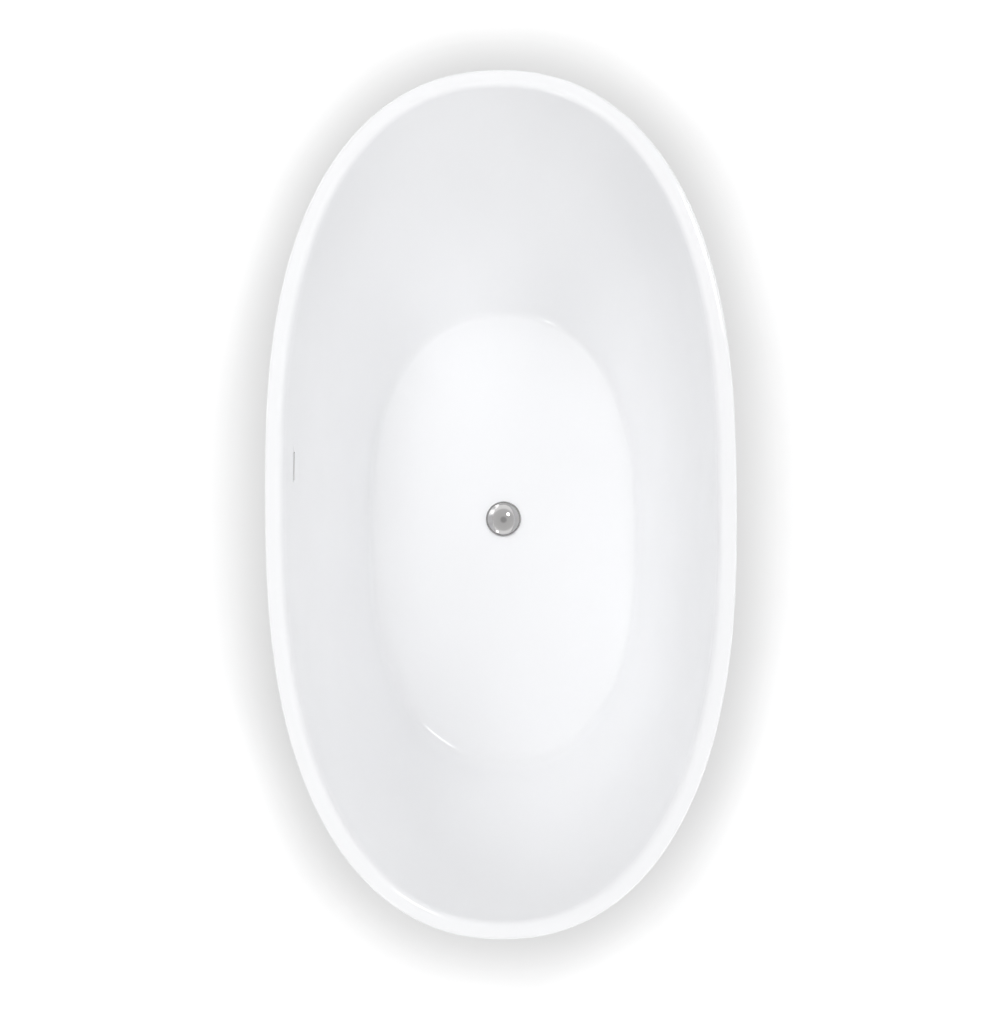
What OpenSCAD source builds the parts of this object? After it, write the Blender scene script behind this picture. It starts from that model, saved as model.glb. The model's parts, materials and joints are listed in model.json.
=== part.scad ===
// Freestanding oval bathtub, in millimetres.
// X runs across the tub, Y along it with the sloped backrest at +Y, and Z up.
// The origin is on the floor, under the middle of the rim.

/* [Overall size] */
// Outside length of the rim
tub_l = 1500; // [1480:5:1540]
// Outside width of the rim
tub_w = 812; // [800:2:830]
// Height of the rim above the floor
tub_h = 580; // [575:1:600]
// How square the oval is towards its sides, where 2 is an ellipse
side_square = 2.2; // [2.1:0.05:2.4]
// How square the oval is towards its ends, where 2 is an ellipse
end_square = 2.6; // [2.4:0.05:2.7]
// How much wider than an even oval the head half is
egg = 0.01; // [0:0.005:0.02]

/* [Basin] */
// Width of the rim's flat top, as far as its inner corner
rim_w = 17; // [16:1:19]
// Half width of the basin where the wall meets the floor's bend
fold_a = 269; // [260:1:270]
// Half length of the basin where the wall meets the floor's bend
fold_b = 460; // [450:1:465]
// How far the floor sits towards the foot end
floor_shift = 36; // [30:1:40]
// How much steeper the wall is at the top than lower down
wall_bow = 0.35; // [0.2:0.05:0.5]
// Height of the floor at the drain, measured from the ground
floor_z = 142; // [140:1:144]
// Rise of the floor from the drain to its edge
floor_rise = 5; // [4:1:6]
// Thickness of the acrylic sheet
acrylic_t = 4; // [3:0.5:5]
// Thickness of the glass fibre laminate behind it
laminate_t = 4; // [3:0.5:4]

/* [Skirt] */
// How much narrower each side of the skirt is at the ground
taper_w = 116; // [105:1:118]
// How much shorter each end of the skirt is at the ground
taper_l = 150; // [140:1:155]
// Curvature of the taper, where 1 is a straight slope
taper_curve = 1.7; // [1.6:0.05:1.8]

/* [Feet] */
// Travel of each levelling foot
foot_travel = 25; // [10:1:25]
// Radius of a foot's pad
pad_r = 25; // [20:1:26]
// Radius of a foot's threaded stud
stud_r = 6; // [5:0.5:6]

/* [Waste and overflow] */
// Radius of the chrome drain flange
flange_r = 35; // [34.5:0.5:36]
// Radius of the domed plug
plug_r = 31.5; // [30:0.5:32]
// Outside radius of the tailpiece
tail_r = 19.05; // [19.05, 20]
// Length of the overflow slot
slot_l = 52; // [44:1:56]
// Height of the overflow slot
slot_h = 8; // [6:1:9]

/* [Hidden] */

$fn = 48;
eps = 0.01;
gap = 0.3;           // between curved neighbours that touch on the real object
thread_gap = 0.08;   // between a stud and its thread

ring_n = 64;         // points round one oval ring
rim_in_r = 15;       // inner corner of the rim
rim_out_r = 6;       // outer corner of the rim
rim_t = 5;           // thickness of the rim and its lip
lip_h = 14;          // height of the rim's outer lip
wall_top_turn = 73;  // degrees turned by the rim's inner corner
wall_steps = 8;      // rings up the wall
wall_back_top = 0.03; // share of the wall's depth left bare at the top of its back
bond = 0.5;          // resin between a sheet and the laminate on its back
dish_h = 9;          // rise of the shallow dish round the flat floor
dish_run = [73, 82]; // width of the dish at the sides and at the ends
dish_pull = [25, 36]; // how far its curve's middle point lies inside its outer edge
bend_h = 16;         // height of the tight bend between dish and wall
bend_run = [12, 22]; // width of the bend at the sides and at the ends
bend_lean = [5, 12]; // how far the bend's corner lies inside the fold
bend_rise = 2.5;     // height of the bend's corner above the dish's edge
drain_flat_r = 45;   // flat round patch under the drain flange
pilot_r = 15;        // hole left in the lofted floors, and drilled out later
drain_hole_r = 25;

round_form = [2, 2, 0];
oval_form = [side_square, end_square, egg];
rim_a = tub_w / 2 - rim_w;
rim_b = tub_l / 2 - rim_w;
wall_inset = rim_in_r * sin(wall_top_turn);
wall_top_z = tub_h - rim_in_r * (1 - cos(wall_top_turn));
edge_z = floor_z + floor_rise;       // height of the floor at its edge
dish_z = edge_z + dish_h;            // height of the dish's outer edge
fold_z = dish_z + bend_h;
dish_a = fold_a - bend_run[0];
dish_b = fold_b - bend_run[1];
floor_a = dish_a - dish_run[0];
floor_b = dish_b - dish_run[1];

shell_t = 4;
shell_clear = 3;                     // skirt's bottom edge above the ground
seam_z = tub_h - lip_h - 0.5;        // where the skirt meets the rim's lip
seam_in = 15;                        // inner edge of the skirt's top flange
shell_laminate_t = 3;
flange_w = 14;                       // turned-in flange at the skirt's bottom
back_top_z = tub_h - 22;             // top of the laminate on the skirt's back

board_t = 12;
board_w = 300;
board_l = 640;
tube_w = 30;
tube_t = 2;
laminate_z = floor_z - acrylic_t - laminate_t;   // flat underside of the laminate
board_z = laminate_z - board_t;
rail_z = board_z - tube_w;
cross_z = rail_z - tube_w;
frame_y = -floor_shift;              // middle of the frame
rail_x = 115;
rail_l = 740;
cross_l = 430;
foot_x = 190;
cross_head_y = frame_y + 330;
cross_foot_y = frame_y - 330;
cross_middle_y = 110;

feet = [[-foot_x, cross_head_y], [foot_x, cross_head_y], [-foot_x, cross_foot_y], [foot_x, cross_foot_y],
    [0, cross_middle_y]];
insert_r = 9;
insert_flange_r = 13;
insert_lip = 2;
nut_h = 8;
nut_z = cross_z - insert_lip - nut_h;
nut_af = 19;                         // across the flats
collar_h = 12;                       // hex collar that turns the stud
collar_z = nut_z - gap - collar_h;
stud_top = cross_z + foot_travel + 25;   // leaves thread in the insert when it is screwed right down
pad_h = 22;
ball_r = 8;
ball_z = 13;

cap_gap = 0.6;
cap_edge = 1.5;                      // height of the cap's straight edge
cap_dome_r = 62;                     // radius of its dome
flange_h = 3;
gasket_t = 1;
flange_z = floor_z + gasket_t;       // underside of the drain flange
cap_z = flange_z + flange_h + cap_gap;
throat_r = 19.5;
shank_r = 22.8;
shank_z = 100;                       // bottom of the shank
cross_bar_z = 110;
hub_r = 9;
cartridge_r = 6.5;
cartridge_z = 98;
cartridge_h = 38;
piston_r = 4.4;
piston_z = 112;
lower_gasket_t = 4;
body_top_z = laminate_z - lower_gasket_t;
body_r = 30.5;
body_flange_r = 37;
body_z = 58;
inlet_z = 80;
outlet_r = 23.5;
outlet_h = 12;
washer_t = 2;
tail_z = 6;                          // bottom of the tailpiece
nut_lip_z = 34;

hose_r = 9.7;
hose_in_r = 8.5;
clamp_r = 11.2;
clamp_w = 9;

slot_y = 67;
slot_yaw = 1;                        // turn of the wall's plane at the slot
slot_z = 515;
box_depth = 14;
box_w = 84;
box_wall = 2;
box_up = 17;                         // box above the slot's middle
box_down = 25;                       // box below it
box_near = 10.6;                     // from the slot's inner edge to the box
spigot_r = 8;                        // pipe that a hose end slides over
spigot_bore_r = 6.5;
spigot_h = 33;
spigot_x = -377.5;
spigot_z = 455;

// The hose's route, from the overflow box down between the walls to the drain body.
hose_route = [[-377.5, 67, 470], [-377.5, 67, 455], [-376.5, 67, 444], [-371, 67, 422],
    [-361, 67, 388], [-349, 66, 345],
    [-337, 64, 290], [-325, 61, 240], [-313, 56, 190], [-300, 50, 145], [-278, 40, 106],
    [-242, 29, 82], [-196, 18, 74], [-140, 8, 74], [-95, 2, 77], [-64, 0, 80], [-50, 0, 80],
    [-34, 0, 80]];

// ---- helpers ----

function lerp(a, b, t) = a + (b - a) * t;
function signed_pow(v, p) = sign(v) * pow(abs(v), p);
function reversed(list) = [for (i = [len(list) - 1 : -1 : 0]) list[i]];
function unit(v) = v / norm(v);

// A station is [half width, half length, shift along Y, height, form]; a ring is its points.
function ring(s) = [for (i = [0 : ring_n - 1]) let (t = 360 * i / ring_n, form = s[4],
    across = signed_pow(cos(t), 2 / form[0]), along = signed_pow(sin(t), 2 / form[1]))
    [s[0] * across * (1 + form[2] * along), s[2] + s[1] * along, s[3]]];

// Triangles that join rings of n points, the last ring back to the first.
function ring_faces(rings, n) = [for (j = [0 : rings - 1], i = [0 : n - 1])
    let (k = (j + 1) % rings, m = (i + 1) % n)
    each [[j * n + i, j * n + m, k * n + m], [j * n + i, k * n + m, k * n + i]]];

// A solid whose stations go once round its cross-section, clockwise from its inner edge.
module closed_loft(stations)
    polyhedron(points = [for (s = stations) each ring(s)],
        faces = ring_faces(len(stations), ring_n), convexity = 10);

module ring_of(r_out, r_in, h)
    difference() {
        cylinder(r = r_out, h = h);
        translate([0, 0, -1]) cylinder(r = r_in, h = h + 2);
    }

module hex(af, h) cylinder(d = af / cos(30), h = h, $fn = 6);

// ---- basin and skirt ----

function wall_lean(u) = (1 - wall_bow) * u + wall_bow * u * u;

// The basin's inner surface moved back by t: floor, dish, bend, then wall up to share `top` of its depth.
// fill thickens the floor's edge, so that its underside is flat.
function floor_part(t, fill) = [for (s = [0.35, 0.7, 1])
    [lerp(drain_flat_r, floor_a, s), lerp(drain_flat_r, floor_b, s), -floor_shift * s,
        floor_z + floor_rise * s - t - fill * s, lerp(round_form, oval_form, s)]];
function bezier(p0, p1, p2, s) = p0 * (1 - s) * (1 - s) + p1 * 2 * s * (1 - s) + p2 * s * s;
function dish_part(t, fill) = [for (s = [0.25, 0.5, 0.75, 1])
    [bezier(floor_a, dish_a - dish_pull[0], dish_a, s), bezier(floor_b, dish_b - dish_pull[1], dish_b, s),
        -floor_shift, edge_z + dish_h * s * s - t - fill, oval_form]];
function bend_part(t, fill) = [for (i = [1 : 4]) let (s = i / 4)
    [bezier(dish_a, fold_a - bend_lean[0], fold_a, s) + 1.04 * t * sin(90 * s),
        bezier(dish_b, fold_b - bend_lean[1], fold_b, s) + 1.25 * t * sin(90 * s), -floor_shift,
        bezier(dish_z, dish_z + bend_rise, fold_z, s) - (t + fill) * cos(90 * s), oval_form]];
function wall_part(t, top) = [for (i = [1 : wall_steps]) let (u = lerp(1, top, i / wall_steps))
    [lerp(rim_a - wall_inset, fold_a, wall_lean(u)) + 1.04 * t,
        lerp(rim_b - wall_inset, fold_b, wall_lean(u)) + 1.25 * t,
        -floor_shift * wall_lean(u), lerp(wall_top_z, fold_z, u), oval_form]];
function basin_skin(t, fill, top) = concat(
    [[pilot_r, pilot_r, 0, floor_z - t, round_form],
        [drain_flat_r, drain_flat_r, 0, floor_z - t, round_form]],
    floor_part(t, fill), dish_part(t, fill), bend_part(t, fill), wall_part(t, top));

function rim_station(inset, z) = [tub_w / 2 - inset, tub_l / 2 - inset, 0, z, oval_form];
function corner_station(r, turn) = rim_station(rim_w + r * sin(turn), tub_h - rim_in_r + r * cos(turn));
inner_corner = [for (turn = [55, 37, 18, 0]) corner_station(rim_in_r, turn)];
outer_corner = [for (p = [0, 30, 60, 90])
    rim_station(rim_out_r * (1 - sin(p)), tub_h - rim_out_r * (1 - cos(p)))];
lip = [rim_station(0, tub_h - lip_h), rim_station(rim_t, tub_h - lip_h),
    rim_station(rim_t, tub_h - rim_t), corner_station(rim_in_r - rim_t, 0),
    corner_station(rim_in_r - rim_t, 45)];

// The slot's frame: X points out through the wall, Z up along it.
slot_u = (wall_top_z - slot_z) / (wall_top_z - fold_z);
slot_x = -lerp(rim_a - wall_inset, fold_a, wall_lean(slot_u));
slot_tilt = atan((1 - wall_bow + 2 * wall_bow * slot_u) * (rim_a - wall_inset - fold_a)
    / (wall_top_z - fold_z));
module at_slot()
    translate([slot_x, slot_y, slot_z]) rotate([0, -slot_tilt, -slot_yaw]) mirror([1, 0, 0]) children();

module slot_cut(l, h, from, to)
    translate([from, 0, 0]) rotate([90, 0, 90]) linear_extrude(to - from) {
        square([l - h, h], center = true);
        for (s = [-1, 1]) translate([s * (l - h) / 2, 0]) circle(d = h);
    }

module drain_bore(r) translate([0, 0, floor_z - 30]) cylinder(r = r, h = 60);

module basin()
    color("white") difference() {
        closed_loft(concat(basin_skin(0, 0, 0), inner_corner, outer_corner, lip,
            reversed(basin_skin(acrylic_t, 0, wall_back_top))));
        drain_bore(drain_hole_r);
        at_slot() slot_cut(slot_l, slot_h, -10, 12);
    }

module basin_laminate()
    color("wheat") difference() {
        closed_loft(concat(basin_skin(acrylic_t + bond, 0, wall_back_top),
            reversed(basin_skin(acrylic_t + laminate_t, floor_rise, wall_back_top))));
        drain_bore(drain_hole_r);
        at_slot() slot_cut(slot_l + 6, slot_h + 6, -4, 20);
    }

function skirt_inset(z) = pow(max(0, 1 - z / tub_h), taper_curve);
function skirt_station(t, z) = [tub_w / 2 - taper_w * skirt_inset(z) - t,
    tub_l / 2 - taper_l * skirt_inset(z) - t, 0, z, oval_form];
function skirt_part(t, z0, z1) = [for (i = [0 : wall_steps])
    skirt_station(t, lerp(z0, z1, i / wall_steps))];

module outer_shell()
    color("white") closed_loft(concat(
        [skirt_station(flange_w, shell_clear), skirt_station(flange_w, shell_clear + shell_t)],
        skirt_part(shell_t, shell_clear + shell_t, back_top_z),
        [rim_station(rim_t + shell_t + 0.5, tub_h - 16), rim_station(rim_t + shell_t + 0.5, tub_h - 10.5),
            rim_station(seam_in, tub_h - 10.5), rim_station(seam_in, tub_h - 6.5),
            rim_station(rim_t + 0.5, tub_h - 6.5), rim_station(rim_t + 0.5, seam_z)],
        reversed(skirt_part(0, shell_clear, seam_z))));

module shell_laminate()
    color("wheat") closed_loft(concat(
        skirt_part(shell_t + shell_laminate_t, shell_clear + shell_t + bond, back_top_z),
        reversed(skirt_part(shell_t + bond, shell_clear + shell_t + bond, back_top_z))));

module rim_bond()
    color("ivory") closed_loft([rim_station(seam_in - 1, tub_h - 6.4), rim_station(seam_in - 1, tub_h - 5.1),
        rim_station(rim_t + 1, tub_h - 5.1), rim_station(rim_t + 1, tub_h - 6.4)]);

// ---- frame and feet ----

module rounded_plate(w, l, r) {
    square([w - 2 * r, l], center = true);
    square([w, l - 2 * r], center = true);
    for (x = [-1, 1], y = [-1, 1]) translate([x * (w / 2 - r), y * (l / 2 - r)]) circle(r = r);
}

screw_y = [-280, -140, 100, 280];
screw_r = 2.5;

module base_board()
    color("burlywood") difference() {
        translate([0, frame_y, board_z]) linear_extrude(board_t) rounded_plate(board_w, board_l, 40);
        translate([0, 0, board_z - 1]) cylinder(r = 62, h = board_t + 2);
        for (x = [-rail_x, rail_x], y = screw_y)
            translate([x, frame_y + y, board_z - 1]) cylinder(r = screw_r + 0.1, h = 9);
    }

module square_tube(l)
    rotate([90, 0, 0]) translate([0, 0, -l / 2]) linear_extrude(l) difference() {
        square(tube_w, center = true);
        square(tube_w - 2 * tube_t, center = true);
    }

module rail(x)
    color("silver") difference() {
        translate([x, frame_y, rail_z + tube_w / 2]) square_tube(rail_l);
        for (y = screw_y) translate([x, frame_y + y, rail_z - 1]) cylinder(r = screw_r + 0.4, h = tube_w + 2);
    }

module cross_tube(y, xs)
    color("silver") difference() {
        translate([0, y, cross_z + tube_w / 2]) rotate([0, 0, 90]) square_tube(cross_l);
        for (x = xs) translate([x, y, cross_z - 1]) cylinder(r = insert_r + 0.1, h = tube_w + 2);
    }

module end_cap() {
    inner = tube_w - 2 * tube_t - 0.4;
    translate([-tube_w / 2, 0, -tube_w / 2]) cube([tube_w, 3, tube_w]);
    translate([-inner / 2, -10, -inner / 2]) cube([inner, 10 + eps, inner]);
}

module tube_end_caps()
    color("dimgray") {
        for (x = [-rail_x, rail_x], s = [0, 180])
            translate([x, frame_y, rail_z + tube_w / 2]) rotate([0, 0, s])
                translate([0, rail_l / 2 + 0.05, 0]) end_cap();
        for (y = [cross_head_y, cross_middle_y, cross_foot_y], s = [90, -90])
            translate([0, y, cross_z + tube_w / 2]) rotate([0, 0, s])
                translate([0, cross_l / 2 + 0.05, 0]) end_cap();
    }

module rail_screws()
    color("gainsboro") for (x = [-rail_x, rail_x], y = screw_y)
        translate([x, frame_y + y, rail_z]) {
            cylinder(r = screw_r, h = tube_w + 8);
            translate([0, 0, -3]) cylinder(r = 5, h = 3 - eps);
        }

module foot_inserts()
    color("lightgray") for (f = feet) translate([f[0], f[1], cross_z - insert_lip]) difference() {
        union() {
            cylinder(r = insert_r, h = tube_w + 2 * insert_lip);
            cylinder(r = insert_flange_r, h = insert_lip - 0.05);
        }
        translate([0, 0, -1]) cylinder(r = stud_r + thread_gap, h = tube_w + 3 * insert_lip);
    }

module lock_nuts()
    color("gainsboro") for (f = feet) translate([f[0], f[1], nut_z]) difference() {
        hex(nut_af, nut_h - 0.05);
        translate([0, 0, -1]) cylinder(r = stud_r + thread_gap, h = nut_h + 2);
    }

module foot_stud(f)
    color("gainsboro") translate([f[0], f[1], 0]) {
        translate([0, 0, ball_z]) sphere(r = ball_r);
        translate([0, 0, ball_z]) cylinder(r = stud_r, h = stud_top - ball_z);
        translate([0, 0, collar_z]) hex(nut_af, collar_h);
    }

module foot_pad(f)
    color("black") translate([f[0], f[1], 0]) difference() {
        rotate_extrude() polygon([[0, 0], [pad_r, 0], [pad_r, 5], [pad_r - 3, 8], [14, 11],
            [12, pad_h], [0, pad_h]]);
        translate([0, 0, ball_z]) sphere(r = ball_r + gap);
        translate([0, 0, ball_z]) cylinder(r = ball_r - 1, h = pad_h);
    }

// ---- drain and click plug ----

module drain_flange()
    color("silver") difference() {
        union() {
            translate([0, 0, flange_z]) rotate_extrude() polygon([[throat_r, -4], [shank_r - 0.5, -4],
                [shank_r - 0.5, 0], [flange_r, 0], [flange_r, 2], [flange_r - 1, flange_h],
                [flange_r - 6, flange_h], [throat_r + 3.5, 0.6], [throat_r, -1.5]]);
            translate([0, 0, shank_z]) ring_of(shank_r, throat_r, flange_z - 2 - shank_z);
            translate([0, 0, cross_bar_z]) cylinder(r = hub_r, h = 10);
            for (a = [0, 90]) rotate([0, 0, a])
                translate([-throat_r - 1, -2, cross_bar_z]) cube([2 * throat_r + 2, 4, 8]);
        }
        translate([0, 0, cross_bar_z - 1]) cylinder(r = cartridge_r + 0.1, h = 12);
    }

module drain_gasket_upper()
    color("dimgray") translate([0, 0, floor_z + 0.05]) ring_of(flange_r - 2, shank_r + 1, gasket_t - 0.1);

module drain_gasket_lower()
    color("black") translate([0, 0, body_top_z + 0.05])
        ring_of(body_flange_r, shank_r + 0.4, lower_gasket_t - 0.1);

module drain_body()
    color("white") difference() {
        union() {
            translate([0, 0, body_top_z - 4]) cylinder(r = body_flange_r, h = 4);
            translate([0, 0, body_z]) cylinder(r = body_r, h = body_top_z - body_z);
            translate([0, 0, body_z - outlet_h]) cylinder(r = outlet_r, h = outlet_h + 1);
            translate([0, 0, inlet_z]) rotate([0, -90, 0]) cylinder(r = spigot_r, h = 54);
            translate([0, 0, inlet_z]) rotate([0, -90, 0]) cylinder(r = spigot_r + 4, h = 33);
        }
        translate([0, 0, shank_z - 2]) cylinder(r = shank_r + 0.1, h = 60);
        translate([0, 0, body_z + 4]) cylinder(r = body_r - 3, h = shank_z - body_z - 6 + eps);
        translate([0, 0, body_z - outlet_h - 1]) cylinder(r = tail_r - 1.5, h = outlet_h + 8);
        translate([-20, 0, inlet_z]) rotate([0, -90, 0]) cylinder(r = spigot_bore_r, h = 40);
    }

tail_top_z = body_z - outlet_h - washer_t;

module tail_washer()
    color("black") translate([0, 0, tail_top_z + 0.05]) ring_of(tail_r + 2.6, tail_r - 1.5, washer_t - 0.1);

module tailpiece()
    color("silver") difference() {
        union() {
            translate([0, 0, tail_z]) cylinder(r = tail_r, h = nut_lip_z - tail_z);
            translate([0, 0, nut_lip_z - eps]) cylinder(r = tail_r - 0.2, h = tail_top_z - nut_lip_z);
            translate([0, 0, tail_top_z - 2]) cylinder(r = tail_r + 2.6, h = 2);
        }
        translate([0, 0, tail_z - 1]) cylinder(r = tail_r - 1.5, h = 60);
    }

module tail_nut()
    color("white") translate([0, 0, nut_lip_z]) difference() {
        union() {
            cylinder(r = outlet_r + 3.5, h = 22);
            for (a = [0 : 45 : 315]) rotate([0, 0, a]) translate([outlet_r + 2, -3, 0]) cube([4, 6, 22]);
        }
        translate([0, 0, -1]) cylinder(r = tail_r + 0.2, h = 30);
        translate([0, 0, tail_top_z - 2.1 - nut_lip_z]) cylinder(r = outlet_r + 0.15, h = 30);
    }

module plug_cap()
    color("silver") translate([0, 0, cap_z]) difference() {
        rotate_extrude() intersection() {
            translate([0, cap_edge - sqrt(cap_dome_r * cap_dome_r - plug_r * plug_r)])
                circle(r = cap_dome_r, $fn = 720);
            square([plug_r, 12]);
        }
        translate([0, 0, -1]) cylinder(r = plug_r - 5, h = 2.2);
    }

module plug_seal()
    color("black") translate([0, 0, cap_z - 4.2]) rotate_extrude()
        polygon([[3.2, 0], [18.6, 0], [25.8, 2.7], [25.8, 5.2], [3.2, 5.2]]);

module plug_stem()
    color("gold") {
        translate([0, 0, piston_z]) cylinder(r = piston_r, h = 4);
        translate([0, 0, piston_z]) cylinder(r = 3, h = cap_z + 1.15 - piston_z);
        translate([0, 0, cap_z - 7]) cylinder(r = 7, h = 2.6);
    }

module click_cartridge()
    color("white") translate([0, 0, cartridge_z]) difference() {
        union() {
            cylinder(r = cartridge_r, h = cartridge_h);
            translate([0, 0, cross_bar_z + 10.1 - cartridge_z]) hex(16, 4);
        }
        translate([0, 0, 2]) cylinder(r = piston_r + 0.3, h = cartridge_h);
    }

spring_r = 3.4;
spring_turns = 5;
spring_z0 = cartridge_z + 2.6;
spring_z1 = piston_z - 0.6;
wire_r = 0.5;

// Points round a helix's wire: 6 a ring and 16 rings a turn.
function coil_ring(q) = let (a = 360 * q, r = [cos(a), sin(a), 0],
    c = r * spring_r + [0, 0, lerp(spring_z0, spring_z1, q / spring_turns)])
    [for (k = [0 : 60 : 300]) c + wire_r * (cos(k) * r + [0, 0, sin(k)])];

module click_spring()
    color("silver") {
        rings = 16 * spring_turns + 1;
        polyhedron(points = [for (j = [0 : rings - 1]) each coil_ring(j / 16)],
            faces = concat(tube_faces(rings, 6), end_faces(rings, 6)), convexity = 10);
    }

// Side and end triangles of an open sweep of rings of n points.
function tube_faces(rings, n) = [for (j = [0 : rings - 2], i = [0 : n - 1]) let (m = (i + 1) % n)
    each [[j * n + i, j * n + m, (j + 1) * n + m], [j * n + i, (j + 1) * n + m, (j + 1) * n + i]]];
function end_faces(rings, n) = let (last = (rings - 1) * n) concat(
    [for (i = [1 : n - 2]) [0, i + 1, i]], [for (i = [1 : n - 2]) [last, last + i, last + i + 1]]);

// ---- overflow ----

module overflow_gasket()
    color("black") at_slot() difference() {
        slot_cut(slot_l + 26, slot_h + 26, box_near - 2.3, box_near - 0.3);
        slot_cut(slot_l + 12, slot_h + 12, box_near - 4, box_near + 2);
    }

module overflow_box()
    color("white") difference() {
        union() {
            at_slot() translate([box_near, -box_w / 2, -box_down])
                cube([box_depth, box_w, box_down + box_up]);
            translate([spigot_x, slot_y, spigot_z]) cylinder(r = spigot_r, h = spigot_h);
        }
        at_slot() translate([box_near - box_wall, -box_w / 2 + box_wall, -box_down + box_wall])
            cube([box_depth, box_w - 2 * box_wall, box_down + box_up - 2 * box_wall]);
        translate([spigot_x, slot_y, spigot_z - 1]) cylinder(r = spigot_bore_r, h = spigot_h);
    }

// A smooth curve through the route's points.
function spline(p, k, t) = let (n = len(p) - 1, a = p[max(k - 1, 0)], b = p[k], c = p[min(k + 1, n)],
    d = p[min(k + 2, n)])
    0.5 * (2 * b + (c - a) * t + (2 * a - 5 * b + 4 * c - d) * t * t + (3 * b - a - 3 * c + d) * t * t * t);
hose_steps = 3;
hose_line = concat([for (k = [0 : len(hose_route) - 2], i = [0 : hose_steps - 1])
    spline(hose_route, k, i / hose_steps)], [hose_route[len(hose_route) - 1]]);
hose_sides = 12;

function hose_ring(k, r) = let (n = len(hose_line) - 1,
    t = unit(hose_line[min(k + 1, n)] - hose_line[max(k - 1, 0)]),
    u = unit(cross([0, 1, 0], t)), v = cross(t, u))
    [for (i = [0 : hose_sides - 1]) let (a = 360 * i / hose_sides)
        hose_line[k] + r * (cos(a) * u + sin(a) * v)];

module overflow_hose()
    color("gainsboro") polyhedron(
        points = [for (k = [0 : len(hose_line) - 1]) each hose_ring(k, hose_r),
            for (k = [len(hose_line) - 1 : -1 : 0]) each hose_ring(k, hose_in_r)],
        faces = ring_faces(2 * len(hose_line), hose_sides), convexity = 10);

module hose_clamp() {
    ring_of(clamp_r, hose_r + 0.25, clamp_w);
    translate([-4, clamp_r - 0.8, 1]) cube([8, 6, clamp_w - 2]);
}

module hose_clamp_upper()
    color("silver") translate([spigot_x, slot_y, spigot_z + 3]) hose_clamp();

module hose_clamp_lower()
    color("silver") translate([-38.5, 0, inlet_z]) rotate([0, -90, 0]) hose_clamp();

basin();
basin_laminate();
outer_shell();
shell_laminate();
rim_bond();
base_board();
rail(-rail_x);  // rail_left
rail(rail_x);  // rail_right
cross_tube(cross_head_y, [-foot_x, foot_x]);  // cross_tube_head
cross_tube(cross_middle_y, [0]);  // cross_tube_middle
cross_tube(cross_foot_y, [-foot_x, foot_x]);  // cross_tube_foot
tube_end_caps();
rail_screws();
foot_inserts();
lock_nuts();
foot_stud(feet[0]);  // foot_stud_1
foot_stud(feet[1]);  // foot_stud_2
foot_stud(feet[2]);  // foot_stud_3
foot_stud(feet[3]);  // foot_stud_4
foot_stud(feet[4]);  // foot_stud_5
foot_pad(feet[0]);  // foot_pad_1
foot_pad(feet[1]);  // foot_pad_2
foot_pad(feet[2]);  // foot_pad_3
foot_pad(feet[3]);  // foot_pad_4
foot_pad(feet[4]);  // foot_pad_5
drain_flange();
drain_gasket_upper();
drain_gasket_lower();
drain_body();
tail_washer();
tail_nut();
tailpiece();
plug_cap();
plug_seal();
plug_stem();
click_cartridge();
click_spring();
overflow_gasket();
overflow_box();
overflow_hose();
hose_clamp_upper();
hose_clamp_lower();
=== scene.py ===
# %% [markdown]
# # A freestanding oval bathtub
# The tub is two glossy sheets, a basin and a skirt, joined under a rolled rim. Below them
# are a board, a steel frame, five screw feet and the waste and overflow fittings.
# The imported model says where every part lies. This lesson reads it as a fixed frame, then
# gives each visible part its real shape and finish. Lengths in the cells are millimetres,
# and MM turns them into the metres that the frame uses.
# %% Load the frame
import json
import math

import bmesh
import bpy
from mathutils import Matrix, Vector, noise


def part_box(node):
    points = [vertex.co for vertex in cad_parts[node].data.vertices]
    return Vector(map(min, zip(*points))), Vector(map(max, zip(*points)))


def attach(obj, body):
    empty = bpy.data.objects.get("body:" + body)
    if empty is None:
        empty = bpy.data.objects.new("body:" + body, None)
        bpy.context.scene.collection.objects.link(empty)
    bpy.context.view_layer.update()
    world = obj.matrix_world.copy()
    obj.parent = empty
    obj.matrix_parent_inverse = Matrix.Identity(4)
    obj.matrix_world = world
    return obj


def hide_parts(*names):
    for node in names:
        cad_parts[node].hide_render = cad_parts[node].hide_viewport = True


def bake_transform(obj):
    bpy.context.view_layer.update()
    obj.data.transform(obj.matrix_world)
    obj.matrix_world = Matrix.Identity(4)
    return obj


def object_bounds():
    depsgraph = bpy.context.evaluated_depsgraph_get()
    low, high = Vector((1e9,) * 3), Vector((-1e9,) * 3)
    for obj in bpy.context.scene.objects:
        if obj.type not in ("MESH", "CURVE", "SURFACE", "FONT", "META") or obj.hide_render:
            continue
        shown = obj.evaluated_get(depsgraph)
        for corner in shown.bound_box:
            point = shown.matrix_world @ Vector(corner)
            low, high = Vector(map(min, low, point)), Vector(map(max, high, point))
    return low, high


MM = 0.001
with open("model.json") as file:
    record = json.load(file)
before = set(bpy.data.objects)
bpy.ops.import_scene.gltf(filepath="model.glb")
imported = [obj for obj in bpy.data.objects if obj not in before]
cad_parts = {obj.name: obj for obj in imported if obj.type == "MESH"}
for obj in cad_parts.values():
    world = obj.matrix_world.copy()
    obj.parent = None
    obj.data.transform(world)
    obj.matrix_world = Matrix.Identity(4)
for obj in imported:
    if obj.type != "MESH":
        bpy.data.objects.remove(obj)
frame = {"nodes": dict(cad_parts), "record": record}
cad_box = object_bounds()
tub_size = cad_box[1] - cad_box[0]
print("tub:", [round(side / MM) for side in tub_size], "mm")

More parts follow.
